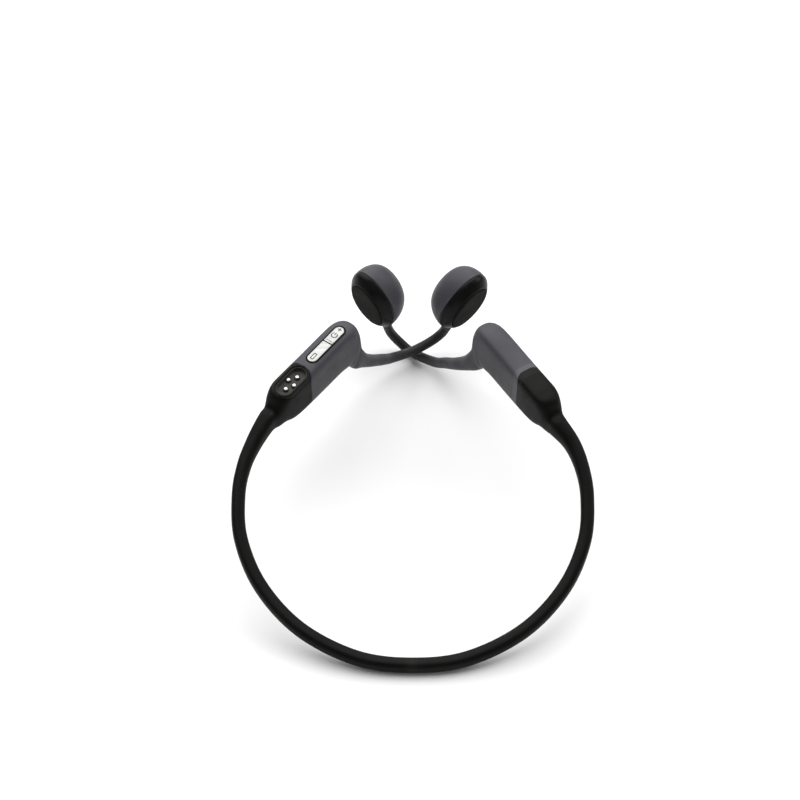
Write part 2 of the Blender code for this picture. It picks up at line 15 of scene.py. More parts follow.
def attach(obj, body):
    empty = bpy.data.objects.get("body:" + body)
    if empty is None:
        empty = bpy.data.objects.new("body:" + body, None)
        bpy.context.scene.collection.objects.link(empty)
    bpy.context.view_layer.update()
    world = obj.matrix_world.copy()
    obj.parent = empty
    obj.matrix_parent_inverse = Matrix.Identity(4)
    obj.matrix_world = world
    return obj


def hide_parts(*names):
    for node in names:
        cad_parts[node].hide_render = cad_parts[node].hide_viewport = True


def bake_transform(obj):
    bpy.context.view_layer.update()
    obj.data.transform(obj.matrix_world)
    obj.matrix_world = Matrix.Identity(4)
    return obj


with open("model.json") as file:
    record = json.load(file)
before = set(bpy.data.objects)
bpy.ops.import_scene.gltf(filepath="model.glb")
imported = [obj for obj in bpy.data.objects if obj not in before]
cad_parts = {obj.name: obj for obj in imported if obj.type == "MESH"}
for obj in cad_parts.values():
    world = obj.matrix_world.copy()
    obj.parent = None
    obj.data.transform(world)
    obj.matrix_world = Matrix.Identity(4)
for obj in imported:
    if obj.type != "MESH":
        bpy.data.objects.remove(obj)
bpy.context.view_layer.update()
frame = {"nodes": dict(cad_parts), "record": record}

MM = 0.001
SIDE = {"right": -1.0, "left": 1.0}
BODY = {"right": "right_half", "left": "left_half"}
ORIGIN = np.array([0.0, 73.27, 0.29])       # the frame's origin, in the design's space

# ---- the design's driving dimensions, as in the CAD ---------------------------------------------
BAND_HALF = (2.2, 2.35)
BAND_SWELL = [(2.3, 2.5), (2.6, 2.8)]
BAND_ROUND = (2.6, 2.6)
POD_MID = {"right": (28.8, 101.4, 34.8), "left": (30.2, 100.5, 34.8)}
POD_TOE = {"right": 53.4, "left": 57.0}
POD_TILT = 3.0
POD_ROUND = (3.8, 7.0)
NOSE_ROUND = (2.7, 3.6)
HOOK_ROUND = (2.2, 2.2)
SKIN_WALL = 1.0
PARTING_U = -12.9                           # black tail meets the grey pod, at mid height
STRAND_LIFT, STRAND_RADIUS = 0.75, 0.44     # spring wire above and cable below the band's centre
STRAND_END_U = -25.5
EGG_LENGTH, EGG_WIDTH, EGG_FLARE = 12.2, 8.5, -0.03
EGG_BACK, EGG_FRONT = 9.7, 4.5
EGG_WALL = 1.2
FUNCTION_RADIUS, FUNCTION_PROUD = 3.0, 0.12 # multifunction key on the left transducer
KEY_HALF_LENGTH, KEY_HALF_WIDTH = 8.75, 1.8
KEY_CENTRE_U, KEY_CENTRE_V = 0.1, 0.5
KEY_DIVIDE, KEY_GAP = 0.9, 0.22             # place and width of the gap between the keys
KEY_SLOT = 0.55                             # width of the black frame round the keys
PORT_CENTRE_U, PORT_CENTRE_V = -18.2, 0.75
PORT_HALF_LENGTH, PORT_HALF_WIDTH = 6.4, 2.9
PORT_ROLL, PORT_SINK = 5.0, 0.25
PINS = ((2.9, -0.05), (0.35, 1.5), (-0.25, -1.35), (-3.0, -0.1))
POD_TOP, POD_HALF_THICK = 7.7, 4.6

BAND = [(0.0, 2.8, 2.61), (17.5, 4.9, 3.46), (35.0, 13.2, 6.81), (47.6, 25.8, 11.9),
        (54.3, 40.0, 17.64), (55.5, 53.1, 22.93), (54.1, 62.2, 26.61), (51.2, 69.4, 29.52)]
POD = [((-31.5, 2.5), (-31.5, -4.5), 0.1, 2.9), ((-28.3, 3.1), (-28.0, -5.3), 0.1, 3.3),
       ((-25.7, 6.9), (-25.0, -5.7), 0.1, 4.1), ((-22.0, 7.6), (-22.0, -6.1), 0.0, 4.6),
       ((-18.0, 7.7), (-18.0, -6.8), 0.0, 4.7), ((-8.0, 7.7), (-8.0, -7.5), 0.0, 4.6),
       ((2.5, 7.7), (2.0, -7.7), 0.0, 4.6), ((9.0, 7.5), (5.2, -8.3), 0.1, 4.5),
       ((12.9, 6.3), (7.3, -9.4), 0.3, 4.3), ((13.8, 3.4), (8.5, -10.6), 0.7, 4.0),
       ((14.1, 0.1), (9.3, -11.9), 1.2, 3.3), ((14.3, -5.3), (10.1, -13.1), 1.8, 2.9)]
POD_STRAIGHT = (3, 7)
HOOK = {
    "right": [(17.6, 113.2, 21.5), (14.5, 115.9, 18.0), (10.7, 120.6, 13.3), (7.4, 125.0, 9.3),
              (0.7, 130.1, 7.0), (-5.4, 133.2, 8.3), (-9.4, 134.6, 11.2), (-11.4, 133.9, 15.8)],
    "left": [(18.6, 112.6, 20.9), (14.5, 115.6, 16.9), (11.0, 120.6, 11.7), (7.0, 126.6, 5.5),
             (-0.3, 133.6, 2.3), (-5.0, 136.8, 4.4), (-8.2, 137.4, 8.9), (-9.6, 136.2, 14.8)],
}
HOOK_HALVES = [2.7, 2.1, 1.9, 1.7, 1.6, 1.6, 1.6, 1.6]
EGG_CENTRE = {"right": (-16.4, 135.4, 27.4), "left": (-13.4, 136.0, 27.6)}
EGG_ALONG = {"right": (-0.508, 0.157, 0.94), "left": (-0.309, 0.056, 0.955)}
PAD_FACES = {"right": (-0.677, -0.729, -0.106), "left": (-0.685, -0.725, -0.072)}

# ---- fineness -----------------------------------------------------------------------------------
SKIN_SIDES = 64
SKIN_PACE = 9                               # rings to a station of the design
EGG_SIDES = 96
SEAM_ROLL = 0.12                            # radius that a skin's edge rolls in by
SEAM_GAP = 0.05
SEAM_PER_MM = 0.1                           # stations to a millimetre along the straight of the pod
LEAN_FADE = 1.2                             # stations over which the parting's lean dies away
TIP_REACH = 0.006                           # metres from the hook's line that its painted shade reaches
TIP_FULL = 0.85                             # share of the hook at which the painted shade is complete


def unit(v):
    return v / np.linalg.norm(v)


# ---- materials ----------------------------------------------------------------------------------
class Nodes:
    """A material under construction, with short calls for the nodes used here."""

    def __init__(self, name):
        self.material = bpy.data.materials.new(name)
        self.material.use_nodes = True
        self.tree = self.material.node_tree
        self.shader = self.tree.nodes["Principled BSDF"]
        self.where = self.tree.nodes.new("ShaderNodeTexCoord").outputs["Object"]

    def link(self, a, b):
        self.tree.links.new(a, b)

    def noise(self, scale, detail=2.0, roughness=0.5):
        node = self.tree.nodes.new("ShaderNodeTexNoise")
        node.inputs["Scale"].default_value = scale
        node.inputs["Detail"].default_value = detail
        node.inputs["Roughness"].default_value = roughness
        self.link(self.where, node.inputs["Vector"])
        return node.outputs["Fac"]

    def cells(self, scale):
        node = self.tree.nodes.new("ShaderNodeTexVoronoi")
        node.inputs["Scale"].default_value = scale
        self.link(self.where, node.inputs["Vector"])
        return node.outputs["Distance"]

    def stretched_noise(self, scale, stretch, turn):
        mapping = self.tree.nodes.new("ShaderNodeMapping")
        mapping.inputs["Scale"].default_value = stretch
        mapping.inputs["Rotation"].default_value = turn
        self.link(self.where, mapping.inputs["Vector"])
        node = self.tree.nodes.new("ShaderNodeTexNoise")
        node.inputs["Scale"].default_value = scale
        node.inputs["Detail"].default_value = 3.0
        self.link(mapping.outputs["Vector"], node.inputs["Vector"])
        return node.outputs["Fac"]

    def ramp(self, fac, low, high, to_low=0.0, to_high=1.0):
        node = self.tree.nodes.new("ShaderNodeMapRange")
        sockets = ("From Min", "From Max", "To Min", "To Max")
        for socket, value in zip(sockets, (low, high, to_low, to_high)):
            node.inputs[socket].default_value = value
        self.link(fac, node.inputs["Value"])
        return node.outputs["Result"]

    def mix(self, fac, first, second):
        node = self.tree.nodes.new("ShaderNodeMix")
        node.data_type = "RGBA"
        self.link(fac, node.inputs["Factor"])
        for socket, colour in ((node.inputs[6], first), (node.inputs[7], second)):
            if isinstance(colour, tuple):
                socket.default_value = (*colour, 1.0)
            else:
                self.link(colour, socket)
        return node.outputs[2]

    def attribute(self, name):
        node = self.tree.nodes.new("ShaderNodeAttribute")
        node.attribute_name = name
        return node.outputs["Fac"]

    def edges(self, low, high):
        node = self.tree.nodes.new("ShaderNodeNewGeometry")
        return self.ramp(node.outputs["Pointiness"], low, high)

    def colour(self, source):
        self.link(source, self.shader.inputs["Base Color"])

    def roughness(self, source):
        self.link(source, self.shader.inputs["Roughness"])

    def bump(self, height, strength, distance, below=None):
        node = self.tree.nodes.new("ShaderNodeBump")
        node.inputs["Strength"].default_value = strength
        node.inputs["Distance"].default_value = distance
        self.link(height, node.inputs["Height"])
        if below is not None:
            self.link(below, node.inputs["Normal"])
        return node.outputs["Normal"]

    def set(self, **values):
        for key, value in values.items():
            self.shader.inputs[key.replace("_", " ")].default_value = value


def silicone(name, light, dark, rough, grain=2600.0, strength=0.25, shine=0.22, edge_highlight=None,
             hook_tip_shade=None):
    """Soft-touch silicone: a fine moulded grain, faint handling marks, and edges painted lighter as a
    painted highlight.
    """
    m = Nodes(name)
    clouds = m.noise(55.0, 4.0, 0.6)
    tone = m.mix(m.ramp(clouds, 0.35, 0.65), dark, light)
    if hook_tip_shade:
        # darken the hook towards the transducer: a painted shade
        tone = m.mix(m.attribute("tip_shade_share"), tone, hook_tip_shade)
    specks = m.ramp(m.noise(1500.0, 1.0), 0.70, 0.78, 0.0, 0.35)
    tone = m.mix(specks, tone, tuple(min(1.0, c * 1.9) for c in light))
    # lighter colour on the sharpest edges: a painted highlight
    if edge_highlight:
        tone = m.mix(m.edges(0.51, 0.58), tone, edge_highlight)
    m.colour(tone)
    smears = m.noise(160.0, 5.0, 0.65)
    m.roughness(m.ramp(smears, 0.3, 0.7, rough - 0.07, rough + 0.08))
    fine = m.bump(m.noise(grain, 2.0), strength, 0.00004)
    broad = m.bump(m.noise(240.0, 2.0), 0.10, 0.0001, fine)
    m.link(broad, m.shader.inputs["Normal"])
    m.set(Specular_IOR_Level=shine)
    return m.material


def gloss_plastic(name, colour, rough):
    m = Nodes(name)
    brighter = tuple(min(1.0, c * 1.35 + 0.002) for c in colour)
    m.colour(m.mix(m.ramp(m.noise(90.0, 3.0), 0.4, 0.65), colour, brighter))
    m.roughness(m.ramp(m.noise(420.0, 4.0, 0.7), 0.35, 0.7, rough - 0.05, rough + 0.09))
    m.link(m.bump(m.noise(1900.0, 2.0), 0.12, 0.00003), m.shader.inputs["Normal"])
    m.set(Specular_IOR_Level=0.14)
    return m.material


def metal(name, colour, rough, brush=None, turn=0.0):
    """Bright metal, with brush marks along the piece where brush is given."""
    m = Nodes(name)
    shade = tuple(c * 0.82 for c in colour)
    if brush:
        marks = m.stretched_noise(900.0, (0.04, 1.0, 1.0), (0.0, 0.0, turn))
        m.link(m.bump(marks, brush, 0.00003), m.shader.inputs["Normal"])
        m.colour(m.mix(m.ramp(marks, 0.35, 0.7), shade, colour))
    else:
        m.colour(m.mix(m.ramp(m.noise(300.0, 4.0), 0.35, 0.7), shade, colour))
    m.roughness(m.ramp(m.noise(700.0, 4.0, 0.7), 0.3, 0.75, rough - 0.06, rough + 0.10))
    m.set(Metallic=1.0)
    return m.material


def circuit(name):
    m = Nodes(name)
    tracks = m.ramp(m.cells(900.0), 0.18, 0.24)
    m.colour(m.mix(tracks, (0.03, 0.20, 0.07), (0.012, 0.09, 0.035)))
    m.roughness(m.ramp(m.noise(500.0), 0.3, 0.7, 0.3, 0.45))
    m.link(m.bump(tracks, 0.3, 0.00003), m.shader.inputs["Normal"])
    return m.material


GREY_LIGHT, GREY_DARK = (0.056, 0.055, 0.064), (0.046, 0.045, 0.053)
# In the looks below, the lighter edge colour is a painted highlight on the silicone's edges.
LOOKS = {
    "grey_silicone": silicone("grey_silicone", GREY_LIGHT, GREY_DARK, 0.50, edge_highlight=(0.078, 0.076, 0.086),
                              # the darker colour for the hooks is a painted shade towards the
                              # transducer
                              hook_tip_shade=(0.016, 0.016, 0.0155)),
    "grey_shell": silicone("grey_shell", GREY_LIGHT, GREY_DARK, 0.46, grain=3200.0, strength=0.18,
                           edge_highlight=(0.078, 0.076, 0.086)),
    "black_silicone": silicone("black_silicone", shine=0.08, light=(0.0045, 0.0045, 0.0040),
                               dark=(0.0025, 0.0025, 0.0022), rough=0.46,
                               edge_highlight=(0.010, 0.010, 0.009)),
    "pad_silicone": silicone("pad_silicone", (0.014, 0.014, 0.011), (0.009, 0.009, 0.007), 0.80,
                             shine=0.08, grain=3600.0, strength=0.5),
    "black_trim": gloss_plastic("black_trim", (0.0020, 0.0020, 0.0021), 0.34),
    "dish_plastic": gloss_plastic("dish_plastic", (0.040, 0.039, 0.034), 0.55),
    "case_plastic": gloss_plastic("case_plastic", (0.05, 0.05, 0.055), 0.45),
    "chip_epoxy": gloss_plastic("chip_epoxy", (0.018, 0.018, 0.018), 0.5),
    "cable_jacket": gloss_plastic("cable_jacket", (0.2, 0.04, 0.04), 0.45),
    "key_metal": metal("key_metal", (0.34, 0.338, 0.33), 0.30, brush=0.35,
                       turn=math.radians(-POD_TOE["right"])),
    "key_mark": gloss_plastic("key_mark", (0.02, 0.02, 0.02), 0.4),
    "pin_plating": metal("pin_plating", (0.50, 0.49, 0.47), 0.16),
    "spring_metal": metal("spring_metal", (0.55, 0.54, 0.52), 0.32, brush=0.3),
    "magnet_steel": metal("magnet_steel", (0.62, 0.62, 0.60), 0.25),
    "coil_copper": metal("coil_copper", (0.78, 0.38, 0.20), 0.35),
    "cell_foil": metal("cell_foil", (0.58, 0.58, 0.60), 0.38),
    "circuit_board": circuit("circuit_board"),
}


def dress(thing, look, sharp=35.0):
    thing.data.materials.clear()
    thing.data.materials.append(LOOKS[look])
    if thing.type == "MESH":
        thing.data.shade_smooth()
        thing.data.set_sharp_from_angle(angle=math.radians(sharp))


# ---- mesh making --------------------------------------------------------------------------------
def add_mesh(name, points, faces, look, sharp=35.0):
    """A piece from points in the design's space."""
    mesh = bpy.data.meshes.new(name)
    mesh.from_pydata(((np.asarray(points) - ORIGIN) * MM).tolist(), [], faces)
    shape = bmesh.new()
    shape.from_mesh(mesh)
    bmesh.ops.recalc_face_normals(shape, faces=shape.faces)
    shape.to_mesh(mesh)
    shape.free()
    thing = bpy.data.objects.new(name, mesh)
    bpy.context.scene.collection.objects.link(thing)
    dress(thing, look, sharp)
    return thing


def loft(name, rings, look, closed=False, sharp=35.0):
    """Rings of equal count joined up: capped at both ends, or closed into a sleeve."""
    rings = [np.asarray(r) for r in rings]
    count = len(rings[0])
    points = np.concatenate(rings)
    faces = []
    last = len(rings) if closed else len(rings) - 1
    for a in range(last):
        b = (a + 1) % len(rings)
        for i in range(count):
            j = (i + 1) % count
            faces.append((a * count + i, a * count + j, b * count + j, b * count + i))
    if not closed:
        faces.append(tuple(range(count)))
        faces.append(tuple((len(rings) - 1) * count + i for i in range(count)))
    return add_mesh(name, points, faces, look, sharp)


def tube(name, path, radius, look, sides=14, closed=False):
    """A round tube along a path, with its rings turned as little as possible."""
    path = np.asarray(path, float)
    count = len(path)
    ahead = np.roll(path, -1, 0) if closed else np.vstack([path[1:], path[-1] * 2 - path[-2]])
    behind = np.roll(path, 1, 0) if closed else np.vstack([path[0] * 2 - path[1], path[:-1]])
    normal = unit(np.cross(unit(ahead[0] - behind[0]), (0.13, 0.21, 0.97)))
    rings = []
    for k in range(count):
        along = unit(ahead[k] - behind[k])
        normal = unit(normal - along * normal.dot(along))
        other = np.cross(along, normal)
        rings.append([path[k] + radius * (normal * math.cos(a) + other * math.sin(a))
                      for a in np.linspace(0, 2 * math.pi, sides, endpoint=False)])
    return loft(name, rings, look, closed=closed)


def cut(thing, cutter):
    """Take the cutter out of the piece, and remove the cutter."""
    modifier = thing.modifiers.new("cut", "BOOLEAN")
    modifier.operation = "DIFFERENCE"
    modifier.solver = "EXACT"
    modifier.object = cutter
    graph = bpy.context.evaluated_depsgraph_get()
    mesh = bpy.data.meshes.new_from_object(thing.evaluated_get(graph))
    thing.modifiers.clear()
    thing.data = mesh
    bpy.data.objects.remove(cutter, do_unlink=True)


# ---- the half: sections down one side -----------------------------------------------------------
class Half:
    """One side's centre line and sections, as the CAD draws them."""

    def __init__(self, side):
        self.side = side
        self.flip = np.array([SIDE[side], 1.0, 1.0])
        toe = math.radians(POD_TOE[side])
        tilt = math.radians(POD_TILT)
        level = np.array([-math.cos(toe), math.sin(toe), 0.0])
        self.axis = level * math.cos(tilt) + np.array([0.0, 0.0, math.sin(tilt)])
        self.up = -level * math.sin(tilt) + np.array([0.0, 0.0, math.cos(tilt)])
        self.inward = np.array([-level[1], level[0], 0.0])
        self.middle = np.array(POD_MID[side])
        pod = self.pod_rows()
        band = [np.array(p) for p in BAND]
        hook = [np.array(p) for p in HOOK[side]]
        mirror = np.array([-1.0, 1.0, 1.0])
        halves = [BAND_HALF] * (len(BAND) - len(BAND_SWELL)) + BAND_SWELL
        rows = [(*f, *half, *BAND_ROUND)
                for half, f in zip(halves, self.path_rows(band, band[1] * mirror, pod[0][0]))]
        for k, row in enumerate(pod):
            rows.append((*row, *(POD_ROUND if POD_STRAIGHT[0] <= k <= POD_STRAIGHT[1] else NOSE_ROUND)))
        beyond = hook[-1] + np.array(EGG_ALONG[side]) * 5.0
        for f, half in zip(self.path_rows(hook, pod[-1][0], beyond), HOOK_HALVES):
            rows.append((*f, half, half, *HOOK_ROUND))
        second, last = rows[1], rows[-1]
        before = (second[0] * mirror, second[1] * mirror, second[2] * mirror, *second[3:])
        after = (last[0] * 2 - rows[-2][0], *last[1:])
        self.count = len(rows)
        self.table = np.array([np.concatenate([r[0], r[1], r[2], r[3:]])
                               for r in [before, *rows, after]])

    def point(self, u, v, w):
        return self.middle + self.axis * u + self.inward * v + self.up * w

    def pod_rows(self):
        rows = []
        for (upper_u, upper_w), (lower_u, lower_w), inward, thick in POD:
            upper, lower = self.point(upper_u, inward, upper_w), self.point(lower_u, inward, lower_w)
            tall = np.linalg.norm(upper - lower)
            rows.append(((upper + lower) / 2, -self.inward, (upper - lower) / tall, thick, tall / 2))
        return rows

    @staticmethod
    def path_rows(points, before, after):
        line = [before] + points + [after]
        rows = []
        for i in range(1, len(line) - 1):
            along = unit(line[i + 1] - line[i - 1])
            outward = unit(np.array([along[1], -along[0], 0.0]))
            rows.append((line[i], outward, np.cross(outward, along)))
        return rows

    def station_of_pod(self, u):
        return float(np.interp(u, [row[0][0] for row in POD], np.arange(len(POD)) + len(BAND)))

    def values(self, stations):
        """All columns at an array of stations, by Catmull-Rom."""
        i = np.clip(stations.astype(int), 0, self.count - 2)
        t = (stations - i)[:, None]
        a, b, c, d = (self.table[i + k] for k in range(4))
        return 0.5 * (2 * b + (c - a) * t + (2 * a - 5 * b + 4 * c - d) * t * t
                      + (3 * b - a - 3 * c + d) * t * t * t)

    def sections(self, stations):
        v = self.values(np.asarray(stations, float))
        outward = v[:, 3:6] / np.linalg.norm(v[:, 3:6], axis=1, keepdims=True)
        along = np.cross(v[:, 6:9], outward)
        along /= np.linalg.norm(along, axis=1, keepdims=True)
        return v[:, :3], along, outward, np.cross(outward, along), v[:, 9], v[:, 10], v[:, 11], v[:, 12]

    def ring(self, station, inset=0.0, offset=None, least=0.5):
        """One outline; offset is an array of stations to add at each point round it."""
        angle = 2 * math.pi * (np.arange(SKIN_SIDES) + 0.5) / SKIN_SIDES
        at = np.full(SKIN_SIDES, float(station)) + (0.0 if offset is None else offset)
        centre, _, outward, upright, thick, tall, corner, crown = self.sections(at)
        c, s = np.cos(angle), np.sin(angle)
        x = np.maximum(thick - inset, least) * np.sign(c) * np.abs(c) ** (2 / corner)
        y = np.maximum(tall - inset, least) * np.sign(s) * np.abs(s) ** (2 / crown)
        return (centre + outward * x[:, None] + upright * y[:, None]) * self.flip

    def line(self, first, last, steps, lift=0.0):
        centre, _, _, upright, _, _, _, _ = self.sections(np.linspace(first, last, steps + 1))
        return (centre + upright * lift) * self.flip

    def matrix(self, u, v, w, roll=0.0):
        """Design-space frame on the pod: x along it, y outward across it, z up, rolled inward."""
        x, up = self.axis * self.flip, self.up * self.flip
        z = up * math.cos(math.radians(roll)) - np.cross(up, x) * math.sin(math.radians(roll))
        return self.point(u, v, w) * self.flip, np.array([x, np.cross(z, x), z])


def placed(matrix, points):
    """Points given in a local frame, in the design's space."""
    origin, axes = matrix
    return np.asarray(points, float) @ axes + origin


def parting_offset():
    """How far forward, in stations, the black tail reaches at each point round the pod."""
    lean = np.sin(2 * math.pi * (np.arange(SKIN_SIDES) + 0.5) / SKIN_SIDES)
    return 0.13 * lean + 0.05 * np.maximum(lean, 0.0) ** 4


def seam(direction, stations_per_mm):
    """(station shift, inset) from deep in the seam out to the plain skin, as a quarter round."""
    rows = [(SEAM_GAP / 2 * stations_per_mm * direction, inset) for inset in (SKIN_WALL, SEAM_ROLL)]
    for k in range(1, 8):
        angle = math.pi / 2 * k / 7
        back = SEAM_GAP / 2 + SEAM_ROLL * (1 - math.cos(angle))
        rows.append((back * stations_per_mm * direction, SEAM_ROLL * (1 - math.sin(angle))))
    hold = SEAM_GAP / 2 + SEAM_ROLL * 1.6
    rows.append((hold * stations_per_mm * direction, 0.0))
    return rows


def skin(name, half, first, last, look, seam_first=False, seam_last=False):
    """A hollow skin from one station to another, its edge rolled in where it meets the other colour."""
    offset = parting_offset()
    rings = []
    low, high = first, last
    if seam_first:
        rows = seam(1.0, SEAM_PER_MM)
        rings += [half.ring(first + shift, inset, offset) for shift, inset in rows]
        low = first + rows[-1][0]
    if seam_last:
        high = last + seam(-1.0, SEAM_PER_MM)[-1][0]

    def lean(station):
        """The parting's lean at a station, dying away over LEAN_FADE stations."""
        share = 0.0
        if seam_first:
            share = max(0.0, 1.0 - (station - low) / LEAN_FADE)
        if seam_last:
            share = max(share, 1.0 - (high - station) / LEAN_FADE)
        return offset * max(share, 0.0)

    steps = max(2, round((high - low) * SKIN_PACE))
    for k in range(steps + 1):
        station = low + (high - low) * k / steps
        rings.append(half.ring(station, 0.0, lean(station)))
    if seam_last:
        rows = seam(-1.0, SEAM_PER_MM)[::-1]
        rings += [half.ring(last + shift, inset, offset) for shift, inset in rows]
    inner_steps = max(2, steps // 2)
    for k in range(inner_steps + 1):
        station = high + (low - high) * k / inner_steps
        rings.append(half.ring(station, SKIN_WALL, lean(station)))
    return loft(name, rings, look, closed=True, sharp=50.0)


def mark_tip_shade(thing, half):
    """A point attribute that grows from the hook's root to the transducer: the share of the painted
    shade on the hook.
    """
    stations = np.linspace(len(BAND) + len(POD) - 1.0, half.count - 1.0, 80)
    line = (half.sections(stations)[0] * half.flip - ORIGIN) * MM
    along = np.array([v.co for v in thing.data.vertices])
    share = np.zeros(len(along))
    nearest = np.full(len(along), 1e9)
    for k, place in enumerate(line):
        distance = np.linalg.norm(along - place, axis=1)
        closer = distance < nearest
        nearest[closer] = distance[closer]
        share[closer] = k / (len(line) - 1)
    share[nearest > TIP_REACH] = 0.0
    t = np.clip(share / TIP_FULL, 0, 1)
    attribute = thing.data.attributes.new("tip_shade_share", "FLOAT", "POINT")
    attribute.data.foreach_set("value", (t * t * (3 - 2 * t)).astype(np.float32))


# ---- outlines -----------------------------------------------------------------------------------
def stadium(half_length, half_width, steps=20):
    straight = half_length - half_width
    points = []
    for end in (0, 1):
        for k in range(steps + 1):
            angle = math.pi * (end - 0.5) + math.pi * k / steps
            points.append(((straight if end == 0 else -straight) + half_width * math.cos(angle),
                           half_width * math.sin(angle)))
    return points


def stadium_rings(matrix, half_length, half_width, profile):
    """Stadium rings for (inset, height) pairs."""
    rings = []
    for inset, height in profile:
        rings.append(placed(matrix, [(x, y, height)
                                     for x, y in stadium(half_length - inset, half_width - inset)]))
    return rings


def pod_drop(v):
    """How far the pod's crowned key edge falls away at v from its middle."""
    share = min(abs(v) / POD_HALF_THICK, 0.995)
    corner, crown = POD_ROUND
    return POD_TOP * (1.0 - (1.0 - share ** corner) ** (1 / crown))


def lip(name, half, centre_u, centre_v, half_length, half_width, radius, sink, look):
    """A soft rounded lip round an opening, following the crown of the pod."""
    origin = half.matrix(centre_u, centre_v, POD_TOP)
    dense = []
    outline = stadium(half_length, half_width, 28)
    for (x0, y0), (x1, y1) in zip(outline, outline[1:] + outline[:1]):
        pieces = max(1, round(math.hypot(x1 - x0, y1 - y0) / 0.5))
        dense += [(x0 + (x1 - x0) * k / pieces, y0 + (y1 - y0) * k / pieces) for k in range(pieces)]
    path = [(x, y, -pod_drop(y - centre_v) - sink) for x, y in dense]
    return tube(name, placed(origin, path), radius, look, sides=12, closed=True)


# ---- transducers --------------------------------------------------------------------------------
def egg_frame(side):
    flip = np.array([SIDE[side], 1.0, 1.0])
    along = unit(np.array(EGG_ALONG[side]))
    out = np.array(PAD_FACES[side])
    out = unit(out - along * out.dot(along)) * flip
    along = along * flip
    return np.array(EGG_CENTRE[side]) * flip, np.array([along, np.cross(out, along), out])


def egg_ring(matrix, scale, height, sides=EGG_SIDES):
    angle = 2 * math.pi * np.arange(sides) / sides
    c, s = np.cos(angle), np.sin(angle)
    flat = np.stack([EGG_LENGTH * scale * c, EGG_WIDTH * scale * s * (1 + EGG_FLARE * c),
                     np.full(sides, height)], 1)
    return placed(matrix, flat)


def dome(depth, rim, scale=1.0, steps=30):
    rows = []
    limit = math.radians(88)
    for k in range(steps + 1):
        angle = limit * k / steps
        rows.append((scale * math.cos(angle) ** 0.65,
                     rim - (rim + depth) * math.sin(angle) / math.sin(limit)))
    return rows


def rounded_pairs(a, b, c, steps=5):
    """(scale, height) pairs that turn the corner b, between a and c, as a curve."""
    rows = []
    for k in range(steps + 1):
        t = k / steps
        rows.append(tuple((1 - t) ** 2 * p + 2 * t * (1 - t) * q + t * t * r
                          for p, q, r in zip(a, b, c)))
    return rows


def build_transducer(side):
    m = egg_frame(side)
    gap = SEAM_GAP / 2
    edge = [(0.88, -gap), (0.975, -gap), (0.99, -gap - 0.04), (0.999, -gap - 0.16)]
    outer = [row for row in dome(EGG_BACK, 0.0) if row[1] < -gap - 0.3]
    inner = dome(EGG_BACK - EGG_WALL, -gap, scale=0.87, steps=12)
    rings = [egg_ring(m, *row) for row in outer[::-1] + edge[::-1] + inner]
    shell = loft(side + "_shell", rings, "grey_shell", sharp=40)
    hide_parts(side + "_transducer_shell")
    profile = [(0.88, gap), (0.975, gap), (0.99, gap + 0.04), (0.999, gap + 0.16), (1.0, 0.45)]
    profile += rounded_pairs((0.998, 0.8), (0.980, 1.75), (0.93, 2.4), 8)
    profile += rounded_pairs((0.83, 3.55), (0.79, 4.0), (0.765, 4.0), 6)
    profile += [(0.757, 3.94), (0.753, 3.8), (0.753, 2.2), (0.86, 1.2)]
    bezel = loft(side + "_bezel", [egg_ring(m, *row) for row in profile], "black_trim", closed=True,
                 sharp=60)
    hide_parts(side + "_transducer_bezel")
    pad_rows = [(0.66, 1.9), (0.735, 1.9), (0.741, 3.9)]
    pad_rows += rounded_pairs((0.741, 4.05), (0.739, 4.42), (0.700, 4.47), 6)
    pad_rows += [(0.45, 4.49), (0.2, EGG_FRONT)]
    pad = loft(side + "_pad", [egg_ring(m, *row) for row in pad_rows], "pad_silicone", sharp=50)
    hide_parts(side + "_contact_pad")
    for thing in (shell, bezel, pad):
        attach(thing, BODY[side])
    return m, shell


def turned(name, matrix, profile, look, centre=(0.0, 0.0), sides=40, sharp=35.0):
    """A solid turned about the frame's z, from (radius, height) pairs, capped at both ends."""
    rings = []
    for radius, height in profile:
        around = [(centre[0] + radius * math.cos(a), centre[1] + radius * math.sin(a), height)
                  for a in np.linspace(0, 2 * math.pi, sides, endpoint=False)]
        rings.append(placed(matrix, around))
    return loft(name, rings, look, sharp=sharp)


def build_function_key(m, shell):
    """Round multifunction key on the outer face, in a ring groove, with a raised rim."""
    top = -EGG_BACK - FUNCTION_PROUD
    bore = FUNCTION_RADIUS + 0.15
    hole = turned("function_cutter", m, [(bore, -EGG_BACK - 3.0), (bore, -EGG_BACK + 1.6)],
                  "grey_shell", sides=64)
    cut(shell, hole)
    shell.data.set_sharp_from_angle(angle=math.radians(40))
    rows = [(FUNCTION_RADIUS, -EGG_BACK + 1.3), (FUNCTION_RADIUS, top + 0.3)]
    rows += rounded_pairs((FUNCTION_RADIUS, top + 0.22), (FUNCTION_RADIUS, top),
                          (FUNCTION_RADIUS - 0.25, top), 5)
    rows += [(2.2, top + 0.05), (1.4, top + 0.12), (0.5, top + 0.16)]
    key = turned("function_key_cap", m, rows, "grey_shell", sides=64)
    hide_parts("function_key")
    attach(key, "function_key_body")


# ---- keys and recess of the right pod -----------------------------------------------------------
# (inset, height) from a key's foot, up its side and over its crown
CROWN = [(0.0, -1.6), (0.0, 0.02), (0.04, 0.12), (0.12, 0.19), (0.30, 0.25), (0.6, 0.30), (1.0, 0.33),
         (1.5, 0.345)]


def crown_height(inset):
    rows = CROWN[1:]
    return float(np.interp(inset, [r[0] for r in rows], [r[1] for r in rows]))


